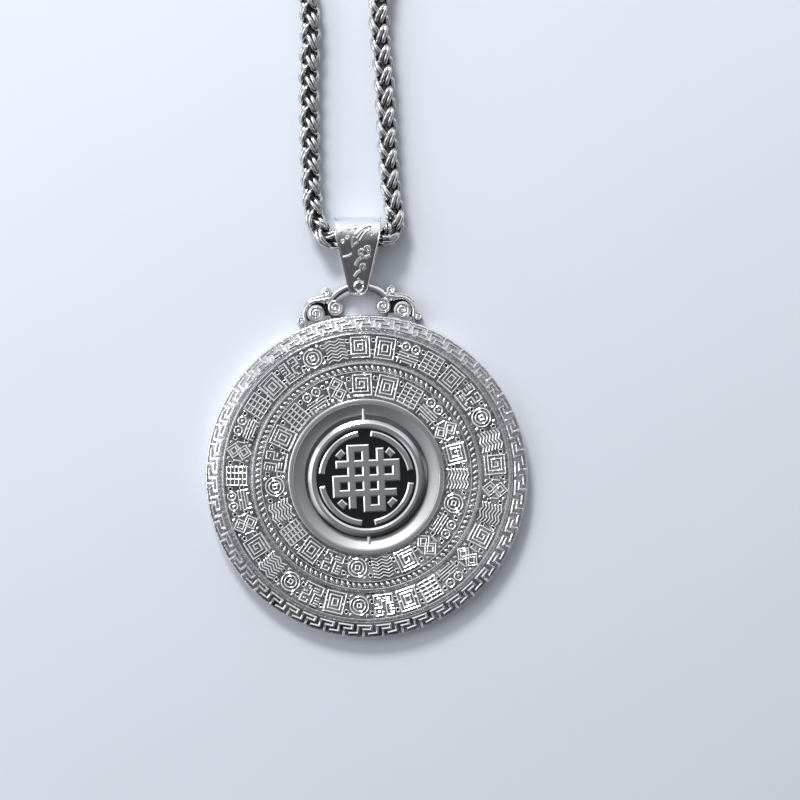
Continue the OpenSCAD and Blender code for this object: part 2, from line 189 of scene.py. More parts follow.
# The bail's carving, drawn flat before the bail is swung aside: curls as (place, outer radius, inner radius,
# start, turn, width, steps), strokes as (width, points), and the places of its dots
CLOUD_CURLS = (
    ((0.1, 24.75), 0.62, 0.58, 75, 300, 0.26, 16), ((0.7, 27.2), 0.42, 0.14, 200, -330, 0.3, 14),
    ((1.3, 29.4), 0.44, 0.16, 180, -300, 0.32, 14), ((0.45, 29), 0.42, 0.16, 30, 300, 0.32, 14),
)
CLOUD_STROKES = (
    (0.28, ((0, 25.8), (0.25, 25.4), (0.75, 25.2))),
    (0.36, ((0.4, 26.8), (-0.05, 26.6), (-0.5, 26))),
    (0.4, ((1.65, 28.75), (1.1, 28.5), (0.6, 28.45))),
    (0.4, ((0.45, 28.4), (0, 28.05), (-0.35, 27.4))),
    (0.26, ((-1.95, 28.45), (-1.3, 28.6), (-0.7, 28.9))),
    (0.36, ((1.7, 32.4), (0.9, 32.25), (0.1, 31.8), (-0.45, 31.2))),
    (0.36, ((-0.5, 31), (-0.7, 30.5), (-0.6, 29.9), (0, 30.3))),
    (0.36, ((0.2, 30.5), (0.6, 31.1), (1.1, 31.7), (1.6, 32))),
    (0.34, ((-0.15, 30.75), (0.25, 31.25), (0.7, 31.7))),
)
CLOUD_DOTS = ((-1.9, 30.4), (-1.3, 30.9), (-2.2, 31.7), (-1.2, 32.1), (-0.3, 32.2), (1.9, 31.3))
CLOUD_DOT_R = 0.18
CLOUD_DOT_W = 0.24
CLOUD_H = 0.26
CLOUD_SINK = 0.14
CLOUD_CHAMFER = 0.1
CLOUD_LEAN = 0.3
CLOUD_LEAN_MAX = 0.1
CLOUD_LEAN_SIDE = Vector((0.75, -0.66))

# The chain's route, from the clasp down the left side, through the bail and up the right side, with the upper
# half of its right side first
CHAIN_SIDE = (
    (6, 241.5, 1.7), (14, 239.5, 1.5), (26, 233, 1.4), (37, 221, 1.4), (45, 204, 1.4), (49, 185, 1.4),
    (48, 166, 1.4), (43, 147, 1.4), (34, 127, 1.4), (24, 107, 1.4), (14.5, 89, 1.4),
)
CHAIN_ROUTE = (
    *[(-x, y, z) for x, y, z in CHAIN_SIDE],
    (-7.4, 74, 1.4), (-4.85, 62, 1.4), (-5.25, 52, 1.4), (-5.5, 43, 1.4), (-5.5, 37, 1.4), (-5.35, 34.4, 1.5),
    (-4.75, 32.6, 1.75), (-3.8, 31.3, 2.05), (-2.6, 30.9, 2.15), (-1.3, 30.9, 2.15), (0, 30.9, 2.15),
    (1.4, 30.9, 2.15), (2.9, 30.9, 2.15), (4.3, 31.25, 2.05), (5.1, 32.5, 1.65), (5.15, 34.4, 1.45),
    (4.8, 37, 1.4), (4.65, 43, 1.4), (4.55, 52, 1.4), (4.4, 62, 1.4), (7.1, 74, 1.4),
    *reversed(CHAIN_SIDE),
)
CHAIN_CORE_R = 0.55

# The clasp
CLASP_L = 11.0
CLASP_R = 1.7
CLASP_Y = 241.6


COLOUR = {"subtype": "COLOR", "size": 3, "min": 0, "max": 1}


class PendantSizes(bpy.types.PropertyGroup):
    """Sizes that change the look of the pieces"""

    relief_h: FloatProperty(
        name="Relief height", description="How far the ornaments stand above their ground, in millimetres",
        default=0.35, min=0.1, max=0.6,
    )
    relief_edge: FloatProperty(
        name="Relief edge", description="Width of the chamfer on the ornaments' top edges, in millimetres",
        default=0.095, min=0.02, max=0.1,
    )
    fret_count: IntProperty(name="Fret units", description="Key units in the border", default=50, min=20)
    rope_count: IntProperty(name="Rope strands", description="Beads in the rope ring", default=120, min=40)
    outer_count: IntProperty(
        name="Outer ornaments", description="Ornaments in the outer band", default=33, min=8
    )
    inner_count: IntProperty(
        name="Inner ornaments", description="Ornaments in the inner band", default=23, min=8
    )
    link_wire_r: FloatProperty(
        name="Link wire radius", description="Radius of the chain's wire, in millimetres",
        default=0.31, min=0.1,
    )
    link_step: FloatProperty(
        name="Link step", description="Distance from one chain link to the next, in millimetres",
        default=1.35, min=0.5,
    )
    camera_height: FloatProperty(
        name="Camera height", description="Height of the camera above the floor",
        default=0.25, min=0.05, unit="LENGTH",
    )


class PendantColours(bpy.types.PropertyGroup):
    """Colours of the metals and the floor"""

    silver: FloatVectorProperty(
        name="Silver", description="Colour of the bright silver",
        default=(0.9, 0.905, 0.915), **COLOUR
    )
    # The silver half way into the shade painted in its hollows: painted shade
    painted_shade: FloatVectorProperty(
        name="Painted shade", description="Colour of the silver in its hollows",
        default=(0.62, 0.625, 0.64), **COLOUR
    )
    # The silver deepest in the shade painted in pits, recesses and under the rope: painted shade
    deep_painted_shade: FloatVectorProperty(
        name="Deep painted shade", description="Colour of the darkened silver in pits and recesses",
        default=(0.045, 0.045, 0.052), **COLOUR
    )
    steel: FloatVectorProperty(
        name="Steel", description="Colour of the chain's steel", default=(0.68, 0.685, 0.69), **COLOUR
    )
    # The painted shade between the chain's links
    painted_link_shade: FloatVectorProperty(
        name="Chain hollows", description="Colour of the steel between the links",
        default=(0.07, 0.07, 0.073), **COLOUR
    )
    paper: FloatVectorProperty(
        name="Paper", description="Colour of the floor", default=(0.715, 0.755, 0.83), **COLOUR
    )


# Helpers


def set_all(thing, **values):
    """Sets each of the thing's named properties."""
    for name, value in values.items():
        setattr(thing, name, value)


def polar(r, degrees):
    a = math.radians(degrees)
    return Vector((r * math.cos(a), r * math.sin(a)))


def points(*pairs):
    return [Vector(p) for p in pairs]


def arc(at, r, start, turn, steps, r_end=None):
    """The flat path of an arc round a point, or of a curl that winds to another radius."""
    end = r if r_end is None else r_end
    return [Vector(at) + polar(r + (end - r) * i / steps, start + turn * i / steps) for i in range(steps + 1)]


def lifted(path, z):
    """A flat path at a height."""
    return [Vector((p.x, p.y, z)) for p in path]


def verts_of(geom):
    """The vertices among what an operator made."""
    return [item for item in geom if isinstance(item, bmesh.types.BMVert)]


def edge_of(path, width, closed=False):
    """The two sides of a stroke of even width along a flat path, with mitred corners."""
    count = len(path)
    sides = []
    for i, p in enumerate(path):
        into = (p - path[i - 1]).normalized() if closed or i > 0 else None
        out = (path[(i + 1) % count] - p).normalized() if closed or i < count - 1 else None
        a = into or out
        b = out or into
        left = Vector((-a.y - b.y, a.x + b.x))
        step = left / (1 + a.dot(b)) * (width / 2)
        sides.append((p + step, p - step))
    return sides


def draw_stroke(bm, path, width, closed=False):
    """A flat strip of even width along a path: one edge is drawn and extruded to the other."""
    sides = edge_of(path, width, closed)
    row = [bm.verts.new((right.x, right.y, 0)) for _, right in sides]
    pairs = list(zip(row, row[1:])) + ([(row[-1], row[0])] if closed else [])
    edges = [bm.edges.new(pair) for pair in pairs]
    goal = {tuple(v.co): left for v, (left, _) in zip(row, sides)}
    for v in verts_of(bmesh.ops.extrude_edge_only(bm, edges=edges)["geom"]):
        left = goal[tuple(v.co)]
        v.co = (left.x, left.y, 0)


def draw_ring(bm, at, r_out, r_in, steps=20):
    """A flat ring."""
    draw_stroke(bm, arc(at, (r_out + r_in) / 2, 0, 360, steps)[:-1], r_out - r_in, closed=True)


def draw_box(bm, at, size, width):
    """A flat square frame, given by its outer size."""
    x, y = size[0] / 2 - width / 2, size[1] / 2 - width / 2
    corners = points((-x, -y), (x, -y), (x, y), (-x, y))
    draw_stroke(bm, [Vector(at) + corner for corner in corners], width, closed=True)


def draw_block(bm, at, size):
    """A flat filled rectangle."""
    half = size[1] / 2
    draw_stroke(bm, points((at[0], at[1] - half), (at[0], at[1] + half)), size[0])


def draw_bars(bm, heights, x0, x1, width):
    """Flat bars across, one at each height."""
    for y in heights:
        draw_stroke(bm, points((x0, y), (x1, y)), width)


def raise_relief(bm, height, chamfer, fall=1.0):
    """Turns flat strips into blocks with a chamfer on top that is fall times as deep as wide."""
    bmesh.ops.recalc_face_normals(bm, faces=bm.faces[:])
    down = [f for f in bm.faces if f.normal.z < 0]
    bmesh.ops.reverse_faces(bm, faces=down)
    made = bmesh.ops.extrude_face_region(bm, geom=bm.faces[:] + bm.edges[:], use_keep_orig=True)["geom"]
    bmesh.ops.translate(bm, vec=(0, 0, height), verts=verts_of(made))
    top = {f for f in made if isinstance(f, bmesh.types.BMFace)}
    rim = [e for e in bm.edges if sum(f in top for f in e.link_faces) == 1]
    bmesh.ops.bevel(
        bm, geom=rim, offset=chamfer, offset_type="OFFSET", segments=1, profile=0.5, affect="EDGES",
        material=-1, clamp_overlap=True,
    )
    for v in bm.verts:
        if abs(v.co.z - height + chamfer) < 1e-3:
            v.co.z = height - chamfer * fall
    bmesh.ops.recalc_face_normals(bm, faces=bm.faces[:])


def as_mesh(bm):
    """The bmesh as a nameless mesh, for copying."""
    mesh = bpy.data.meshes.new("pattern")
    bm.to_mesh(mesh)
    bm.free()
    return mesh


def add_copies(bm, mesh, places):
    """Adds a copy of the mesh at each of the placing matrices."""
    for place in places:
        first = len(bm.verts)
        bm.from_mesh(mesh)
        bm.verts.ensure_lookup_table()
        bmesh.ops.transform(bm, matrix=place, verts=bm.verts[first:])


def add_part(bm, part, place=Matrix.Identity(4)):
    """Moves what is drawn in part into bm."""
    add_copies(bm, as_mesh(part), [place])


def ring_of(count, place, shift=0.0):
    """Placing matrices evenly round the medallion's middle, turned on by a share of one step."""
    return [Matrix.Rotation(math.tau * (i + shift) / count, 4, "Z") @ place for i in range(count)]


def turned(bm, profile, steps=128, rounding=0.0):
    """Spins a closed profile of (radius, height) points once round the Z axis."""
    row = [bm.verts.new((r, 0, z)) for r, z in profile]
    geom = row + [bm.edges.new(pair) for pair in zip(row, row[1:] + row[:1])]
    if rounding:
        bmesh.ops.bevel(
            bm, geom=row, offset=rounding, offset_type="OFFSET", segments=2, profile=0.5, affect="VERTICES",
            material=-1, clamp_overlap=True,
        )
        geom = bm.verts[:] + bm.edges[:]
    bmesh.ops.spin(
        bm, geom=geom, cent=(0, 0, 0), axis=(0, 0, 1), angle=math.tau, steps=steps, use_merge=True,
        use_duplicate=False,
    )
    bmesh.ops.remove_doubles(bm, verts=bm.verts[:], dist=1e-4)


def tube(bm, path, radius, sides=10):
    """A round wire along a path of 3D points, with closed ends."""
    curve = bpy.data.curves.new("wire", "CURVE")
    set_all(curve, dimensions="3D", bevel_depth=radius, bevel_resolution=sides // 2 - 2, use_fill_caps=True)
    spline = curve.splines.new("POLY")
    spline.points.add(len(path) - 1)
    for point, place in zip(spline.points, path):
        point.co = (*place, 1)
    wire = bpy.data.objects.new("wire", curve)
    mesh = bpy.data.meshes.new_from_object(wire)
    bm.from_mesh(mesh)
    bpy.data.objects.remove(wire)
    bpy.data.curves.remove(curve)
    bpy.data.meshes.remove(mesh)


def finish_piece(bm, name, metal, node, body="pendant", hollow=None, sharp=38):
    """Makes the bmesh an object in metres that rides on its body and stands for its node.

    hollow says how much painted shade darkens and dulls each point, by its place or in a list, and becomes an
    attribute. Edges that bend by more than sharp degrees stay sharp.
    """
    bmesh.ops.recalc_face_normals(bm, faces=bm.faces[:])
    if callable(hollow):
        hollow = [hollow(v.co) for v in bm.verts]
    depth = [max(h, 0.0) for h in hollow] if hollow else [0.0] * len(bm.verts)
    bmesh.ops.scale(bm, vec=(MM, MM, MM), verts=bm.verts[:])
    mesh = bpy.data.meshes.new(name)
    bm.to_mesh(mesh)
    bm.free()
    mesh.shade_smooth()
    mesh.set_sharp_from_angle(angle=math.radians(sharp))
    mesh.attributes.new("hollow", "FLOAT", "POINT").data.foreach_set("value", depth)
    mesh.materials.append(metal_material(metal))
    piece = bpy.data.objects.new(name, mesh)
    bpy.context.scene.collection.objects.link(piece)
    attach(piece, body)
    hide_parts(node)


# Materials

# The metals, as (share of the colours' brightness, roughness in the open, roughness in the hollows, spots of
# grain per metre, bump height in metres): the cast relief, the mirror-like lip and disc, the hand-polished
# strap of the bail, its soft clouds, the brushed cove and the chain
METALS = {
    "cast_silver": (1, 0.06, 0.14, 2200, 0.00005),
    "polished_silver": (1, 0.06, 0.25, 1500, 0.000002),
    "worn_silver": (1, 0.07, 0.25, 450, 0.00008),
    "cloud_silver": (1, 0.14, 0.3, 3000, 0.00001),
    # The cove's silver at about half brightness is painted shade
    "satin_silver": (0.52, 0.5, 0.52, 1800, 0.0000005),
    "wheat_steel": (1, 0.05, 0.3, 1800, 0.000006),
}


class Tree:
    """The empty node tree of a material or of the world, to be filled."""

    def __init__(self, owner):
        owner.use_nodes = True
        self.tree = owner.node_tree
        self.tree.nodes.clear()

    def add(self, kind, inputs=None, **settings):
        """Adds a node and sets each of its inputs to a value, or links it to another node's output."""
        node = self.tree.nodes.new(kind)
        set_all(node, **settings)
        for name, value in (inputs or {}).items():
            if isinstance(value, bpy.types.NodeSocket):
                self.tree.links.new(value, node.inputs[name])
            else:
                node.inputs[name].default_value = value
        return node


def fill_ramp(ramp, stops):
    """Gives a colour ramp its stops of (position, colour)."""
    rows = ramp.elements
    while len(rows) < len(stops):
        rows.new(0.5)
    for row, (position, shade) in zip(rows, stops):
        row.position = position
        row.color = (*shade, 1)


def metal_material(name):
    """A metal with fine grain that painted shade from the hollow attribute darkens and dulls, made when first
    asked for.
    """
    material = bpy.data.materials.get(name)
    if material:
        return material
    c = bpy.context.scene.pendant_colours
    colours = (c.silver, c.painted_shade, c.deep_painted_shade)
    # The chain's steel, greyer and near black towards its hollows: painted shade
    if name == "wheat_steel":
        colours = (c.steel, [0.5 * x for x in c.steel], c.painted_link_shade)
    share, open_rough, hollow_rough, spots, bump_h = METALS[name]
    stops = [(at, [share * x for x in colour]) for at, colour in zip((0.0, 0.5, 0.95), colours)]
    material = bpy.data.materials.new(name)
    tree = Tree(material)
    place = tree.add("ShaderNodeTexCoord").outputs["Object"]
    depth = tree.add("ShaderNodeAttribute", attribute_name="hollow").outputs["Fac"]
    clouds = tree.add("ShaderNodeTexNoise", {
        "Vector": place, "Scale": spots * 0.2, "Detail": 4, "Roughness": 0.6,
    })
    spread = tree.add("ShaderNodeMapRange", {
        "Value": clouds.outputs["Fac"], "From Min": 0.3, "From Max": 0.7, "To Min": 0.72, "To Max": 1.15,
    })
    # The painted shade from the hollow attribute, varied at random by the cloud noise
    shade_and_stain = tree.add(
        "ShaderNodeMath", {0: depth, 1: spread.outputs["Result"]}, operation="MULTIPLY", use_clamp=True
    ).outputs[0]
    shade = tree.add("ShaderNodeValToRGB", {"Fac": shade_and_stain})
    fill_ramp(shade.color_ramp, stops)
    fine = tree.add("ShaderNodeTexNoise", {"Vector": place, "Scale": spots, "Detail": 3}).outputs["Fac"]
    dull = tree.add("ShaderNodeMapRange", {"Value": shade_and_stain, "To Min": open_rough, "To Max": hollow_rough})
    smear = tree.add("ShaderNodeMath", {0: fine, 1: 0.1, 2: dull.outputs["Result"]}, operation="MULTIPLY_ADD")
    deep = tree.add("ShaderNodeMapRange", {
        "Value": depth, "From Max": 0.5, "To Min": bump_h, "To Max": bump_h * 2.5,
    })
    bump = tree.add("ShaderNodeBump", {"Strength": 1.0, "Distance": deep.outputs["Result"], "Height": fine})
    shader = tree.add("ShaderNodeBsdfPrincipled", {
        "Metallic": 1.0, "Base Color": shade.outputs["Color"], "Roughness": smear.outputs[0],
        "Normal": bump.outputs["Normal"],
    })
    tree.add("ShaderNodeOutputMaterial", {"Surface": shader.outputs["BSDF"]})
    return material


# The medallion's pieces


def border_z(r):
    """Height of the sloping border at a radius."""
    return BORDER_IN_Z - (r - BORDER_IN_R) * BORDER_FALL / BORDER_RUN


def painted_shade(part, fade=0.0):
    """What says how dark the painted shade makes a part of the relief at a place."""
    dark, foot, rise = PAINTED_SHADE[part]
    return lambda co: dark - fade * co.y - (co.z - foot) / rise


def border_hollow(co, clearing):
    """How dark the border's painted shade is: bright at the top, dark at the foot, and clearing up on raised
    lines.
    """
    return BORDER_DARK - BORDER_FADE * co.y - clearing * max(co.z - border_z(math.hypot(co.x, co.y)), 0)


def ring_hollow(co):
    """The turned body's painted shade: black under the rope, grey on grounds and grooves, bright on ridges."""
    r = math.hypot(co.x, co.y)
    if co.z < SIDE_Z or r < LIP_OUT_R:
        return 0.0
    if r > BORDER_IN_R:
        return border_hollow(co, 2.0)
    if sum(ROPE_IN_RIDGE[2:]) / 2 < r < sum(ROPE_OUT_RIDGE[:2]) / 2:
        return ROPE_BED_DARK
    if co.z < GROUND_Z - 0.05:
        return GROOVE_DARK
    return painted_shade("grounds", BAND_FADE)(co)


def ridge(radii, foot_z):
    """The profile of a turned ridge, from the height inside it to the groove outside it."""
    return [(radii[0], foot_z), (radii[1], RIDGE_Z), (radii[2], RIDGE_Z), (radii[3], GROOVE_Z)]


class PENDANT_OT_medallion_body(bpy.types.Operator):
    """Turns the medallion's ring: cove, polished lip, grounds, ridges, grooves and sloping border"""

    bl_idname = "pendant.medallion_body"
    bl_label = "Medallion body"

    def execute(self, context):
        edge_r = RIM_R - BORDER_EDGE_W
        under_lip = LIP_OUT_R - 0.6
        bm = bmesh.new()
        turned(bm, [
            (LIP_OUT_R + 0.05, GROUND_Z), *ridge(ROPE_IN_RIDGE, GROUND_Z), *ridge(ROPE_OUT_RIDGE, GROOVE_Z),
            (OUTER_BAND[0] - 0.1, GROOVE_Z), (OUTER_BAND[0] - 0.05, GROUND_Z), *ridge(BAND_RIDGE, GROUND_Z),
            (BORDER_IN_R - 0.12, GROOVE_Z), (BORDER_IN_R, BORDER_IN_Z), (edge_r, border_z(edge_r)),
            *[(RIM_R - inside, BORDER_OUT_Z + above) for inside, above in BORDER_EDGE],
            (RIM_R, BACK_CHAMFER), (RIM_R - BACK_CHAMFER, 0), (under_lip, 0), (under_lip, GROUND_Z),
        ], steps=180, rounding=0.05)
        finish_piece(bm, "medallion_ring", "cast_silver", "medallion", hollow=ring_hollow)

        across, down = LIP_CHAMFER
        cove_end = LIP_IN_R + COVE_UNDER_LIP
        bm = bmesh.new()
        turned(bm, [
            (HOLE_R, 0), *[(HOLE_R + out, LIP_Z - under) for out, under in COVE], (LIP_IN_R, LIP_Z - down),
            (cove_end, LIP_Z), (cove_end, 0.5), (cove_end, 0),
        ], steps=180)
        finish_piece(bm, "medallion_cove", "satin_silver", "medallion", sharp=15)

        bm = bmesh.new()
        turned(bm, [
            (LIP_IN_R, 0.01), (LIP_IN_R, LIP_Z - down), (LIP_IN_R + across, LIP_Z),
            (LIP_OUT_R - across, LIP_Z), (LIP_OUT_R, LIP_Z - down), (LIP_OUT_R + 0.03, GROUND_Z - 0.1),
            (LIP_OUT_R, 0.01),
        ], steps=180, rounding=0.05)
        finish_piece(bm, "medallion_lip", "polished_silver", "medallion")
        return {"FINISHED"}


class PENDANT_OT_key_fret(bpy.types.Operator):
    """Raises the running key fret on the sloping border"""

    bl_idname = "pendant.key_fret"
    bl_label = "Key fret"

    def execute(self, context):
        count = context.scene.pendant_sizes.fret_count
        mid_r, mid_z = BORDER_IN_R + BORDER_RUN / 2, BORDER_IN_Z - BORDER_FALL / 2
        unit = math.tau * mid_r / count
        foot = -BORDER_LEN / 2 + FRET_LINE_W / 2
        level = (BORDER_LEN - FRET_LINE_W) / 3
        key = bmesh.new()
        draw_stroke(key, points(
            (foot + 3 * level, 0), (foot + level, 0), (foot + level, 0.4 * unit), (foot, 0.4 * unit),
            (foot, -0.28 * unit), (foot + 2 * level, -0.28 * unit), (foot + 2 * level, -0.78 * unit),
        ), FRET_LINE_W)
        raise_relief(key, FRET_H + RELIEF_SINK, FRET_CHAMFER)
        on_slope = (
            Matrix.Translation((mid_r, 0, mid_z))
            @ Matrix.Rotation(BORDER_SLOPE, 4, "Y")
            @ Matrix.Translation((0, 0, -RELIEF_SINK))
        )
        bm = bmesh.new()
        add_copies(bm, as_mesh(key), ring_of(count, on_slope))
        finish_piece(
            bm, "key_fret", "cast_silver", "medallion", sharp=25,
            hollow=lambda co: border_hollow(co, 9.0),
        )
        return {"FINISHED"}


class PENDANT_OT_rope_ring(bpy.types.Operator):
    """Lays the rope ring of slanting beads in its groove"""

    bl_idname = "pendant.rope_ring"
    bl_label = "Rope ring"

    def execute(self, context):
        bead = bmesh.new()
        bmesh.ops.create_uvsphere(bead, u_segments=10, v_segments=7, radius=1)
        bmesh.ops.scale(bead, vec=BEAD_RADII, verts=bead.verts[:])
        place = Matrix.Translation(((ROPE_IN_R + ROPE_OUT_R) / 2, 0, GROUND_Z + BEAD_LIFT))
        place = place @ Matrix.Rotation(math.radians(BEAD_SLANT), 4, "Z")
        bm = bmesh.new()
        add_copies(bm, as_mesh(bead), ring_of(context.scene.pendant_sizes.rope_count, place))
        finish_piece(bm, "rope_ring", "cast_silver", "medallion", hollow=painted_shade("rope_ring"))
        return {"FINISHED"}


# The eight ornaments of the bands, each 2.7 wide and 2.9 high, drawn upright round its middle

LINE = 0.21


def draw_square_spiral(bm):
    draw_stroke(bm, points(
        (-1.2, -1.3), (1.2, -1.3), (1.2, 1.3), (-1.2, 1.3), (-1.2, -0.85), (0.75, -0.85), (0.75, 0.85),
        (-0.75, 0.85), (-0.75, -0.4), (0.3, -0.4), (0.3, 0.4), (-0.3, 0.4), (-0.3, 0),
    ), LINE)


def draw_lattice(bm):
    for x in (-1.2, -0.4, 0.4, 1.2):
        draw_block(bm, (x, 0), (LINE, 2.8))
    draw_bars(bm, (-1.3, -0.78, -0.26, 0.26, 0.78, 1.3), -1.3, 1.3, LINE)


def draw_corner_dots(bm, x, y):
    for sx in (-1, 1):
        for sy in (-1, 1):
            draw_block(bm, (sx * x, sy * y), (0.36, 0.36))


def draw_coin(bm):
    draw_ring(bm, (0, 0), 1.3, 1.3 - LINE, 24)
    draw_ring(bm, (0, 0), 0.88, 0.88 - LINE, 20)
    draw_box(bm, (0, 0), (0.72, 0.72), LINE)
    draw_corner_dots(bm, 1.1, 1.2)


def draw_lozenges(bm):
    for y in (-0.66, 0.66):
        for r in (0.95, 0.5):
            draw_stroke(bm, arc((0, y), r, 0, 360, 4)[:-1], LINE, closed=True)
    draw_corner_dots(bm, 1.05, 1.25)
    for x in (-1.2, 1.2):
        draw_block(bm, (x, 0), (0.24, 1.1))


def draw_nested_boxes(bm):
    for size in ((2.65, 2.9), (1.75, 2), (0.9, 1.1)):
        draw_box(bm, (0, 0), size, LINE)
    for x in (-1.1, 1.1):
        draw_block(bm, (x, 0), (0.3, LINE))


def draw_waves(bm):
    for y in (-1.25, -0.83, -0.42, 0, 0.42, 0.83, 1.25):
        low, high = y - 0.15, y + 0.15
        draw_stroke(bm, points((-1.3, low), (-0.65, high), (0, low), (0.65, high), (1.3, low)), 0.2)


def draw_cloud_pair(bm):
    for x in (-0.68, 0.68):
        draw_ring(bm, (x, 0.82), 0.63, 0.63 - LINE, 16)
        draw_block(bm, (x, 0.82), (0.34, 0.34))
    draw_bars(bm, (-0.05, -0.42), -1.3, 1.3, LINE)
    for x, top in ((1.2, -0.8), (0.72, -1.15)):
        draw_stroke(bm, points((-x, -1.45), (-x, top), (x, top), (x, -1.45)), LINE)
    draw_block(bm, (0, -0.24), (LINE, 0.3))


def draw_double_hook(bm):
    draw_stroke(bm, points(
        (-1.2, 1.3), (-0.3, 1.3), (-0.3, -0.2), (-1.2, -0.2), (-1.2, -1.3), (1.2, -1.3), (1.2, -0.65)
    ), LINE)
    draw_stroke(bm, points(
        (0.25, -0.65), (0.25, 0.3), (1.2, 0.3), (1.2, 1.3), (0.25, 1.3), (0.25, 0.8)
    ), LINE)
    draw_bars(bm, (0.25, 0.62, 0.98), -1.25, -0.62, LINE)
    draw_bars(bm, (-0.85, -0.5), -0.8, 0, LINE)
    draw_bars(bm, (-0.1,), 0.62, 1.2, LINE)
    draw_stroke(bm, points((0.5, -0.5), (0.5, -0.9), (0.85, -0.9)), LINE)
    draw_block(bm, (0.72, 0.8), (0.4, LINE))


ORNAMENTS = (
    draw_square_spiral, draw_lattice, draw_coin, draw_lozenges, draw_nested_boxes, draw_waves,
    draw_cloud_pair, draw_double_hook,
)


class PENDANT_OT_ornament_bands(bpy.types.Operator):
    """Raises the two bands of small ornaments, feet towards the middle, taken in turn from the eight"""

    bl_idname = "pendant.ornament_bands"
    bl_label = "Ornament bands"

    def execute(self, context):
        sizes = context.scene.pendant_sizes
        patterns = []
        for draw in ORNAMENTS:
            pattern = bmesh.new()
            draw(pattern)
            raise_relief(pattern, sizes.relief_h + RELIEF_SINK, sizes.relief_edge, fall=0.65)
            patterns.append(as_mesh(pattern))
        bands = (
            ("inner_ornaments", INNER_BAND, sizes.inner_count, 3),
            ("outer_ornaments", OUTER_BAND, sizes.outer_count, 5),
        )
        for name, band, count, step in bands:
            bm = bmesh.new()
            for i, place in enumerate(ring_of(count, self.in_band(band))):
                kind = (i * step + i // len(ORNAMENTS)) % len(ORNAMENTS)
                add_copies(bm, patterns[kind], [place])
            finish_piece(
                bm, name, "cast_silver", "medallion", sharp=25,
                hollow=painted_shade("ornaments", BAND_FADE),
            )
        self.socket_squares(bands)
        return {"FINISHED"}

    def in_band(self, band, out=0.0):
        """The placing matrix in the middle of a band, or so far outside it."""
        return Matrix.Translation((0, sum(band) / 2 + out, GROUND_Z - RELIEF_SINK))

    def socket_squares(self, bands):
        """Sets two small square frames between each two ornaments, round floors painted dark as shade in the
        sockets.
        """
        square = bmesh.new()
        draw_box(square, (0, 0), (SOCKET_W, SOCKET_W), SOCKET_LINE_W)
        raise_relief(square, SOCKET_H + RELIEF_SINK, 0.05)
        floor = bmesh.new()
        draw_block(floor, (0, 0), (SOCKET_FLOOR_W, SOCKET_FLOOR_W))
        raise_relief(floor, SOCKET_FLOOR_H + RELIEF_SINK, 0.01)
        socket = [as_mesh(square), as_mesh(floor)]
        bm = bmesh.new()
        for _, band, count, _ in bands:
            for out in SOCKET_PLACES:
                for mesh in socket:
                    add_copies(bm, mesh, ring_of(count, self.in_band(band, out), 0.5))
        finish_piece(
            bm, "socket_squares", "cast_silver", "medallion", sharp=65,
            hollow=painted_shade("socket_squares"),
        )


# The shoulders


def mirrored(path, side):
    """A flat path of the right shoulder, or its mirror image when side is -1."""
    return [Vector((side * x, y)) for x, y in path]


class PENDANT_OT_shoulders(bpy.types.Operator):
    """Bends the arc loop and winds the scrolls of the two shoulders"""

    bl_idname = "pendant.shoulders"
    bl_label = "Loop and shoulders"

    def execute(self, context):
        x, y, z = LOOP_CENTRE
        bm = bmesh.new()
        bend = arc((x, y), LOOP_R, 90 - LOOP_HALF_ANGLE, 2 * LOOP_HALF_ANGLE, 29)
        tube(bm, lifted(bend, z), LOOP_WIRE_R, 16)
        # Painted shade on the loop wire's inner side, towards the loop's centre
        finish_piece(
            bm, "arc_loop", "polished_silver", "medallion",
            hollow=lambda co: (LOOP_R - math.hypot(co.x - x, co.y - y)) / 0.4,
        )

        bm = bmesh.new()
        for side in (1, -1):
            for scroll in SCROLLS:
                self.wind_scroll(bm, side, *scroll)
            for run_in, r, wire, (start, end) in ARCH_WIRES:
                path = [run_in, *arc(ARCH_CENTRE, r, start, end - start, 18)]
                tube(bm, lifted(mirrored(path, side), SCROLL_Z - 0.25), wire, 10)
            arch = arc(ARCH_CENTRE, ARCH_R, ARCH_ANGLES[0], ARCH_ANGLES[1] - ARCH_ANGLES[0], 20)
            floor = bmesh.new()
            draw_stroke(floor, mirrored(arch, side), ARCH_W)
            raise_relief(floor, SCROLL_Z - 0.28, 0.06)
            add_part(bm, floor)
            for height, chamfer, outline in SHOULDER_SLABS:
                slab = bmesh.new()
                slab.faces.new([slab.verts.new((*p, 0)) for p in mirrored(outline, side)])
                raise_relief(slab, height, chamfer)
                add_part(bm, slab)
        finish_piece(
            bm, "shoulder_scrolls", "cast_silver", "medallion",
            hollow=painted_shade("shoulder_scrolls"),
        )
        return {"FINISHED"}

    def wind_scroll(self, bm, side, x, y, r, turns, apron):
        """Winds a scroll's wire inwards on its turned base and sets a bead in its middle."""
        wire_r = r - SCROLL_WIRE_R
        path = arc((side * x, y), wire_r, 90 + 10 * side, -side * 360 * turns, 34, 0.28 * wire_r)
        tube(bm, lifted(path, SCROLL_Z - 0.22), SCROLL_WIRE_R, 8)
        base = bmesh.new()
        turned(base, [
            (0, 0), (r + apron, 0), (r + apron, SCROLL_Z - 0.55), (r - 0.06, SCROLL_Z - 0.5),
            (r - 0.06, SCROLL_Z - 0.3), (0, SCROLL_Z - 0.42),
        ], steps=32)
        add_part(bm, base, Matrix.Translation((side * x, y, 0)))
        bead = bmesh.new()
        bmesh.ops.create_uvsphere(bead, u_segments=12, v_segments=8, radius=0.2 * r)
        add_part(bm, bead, Matrix.Translation((side * x, y, SCROLL_Z - 0.26)))


# The turning disc


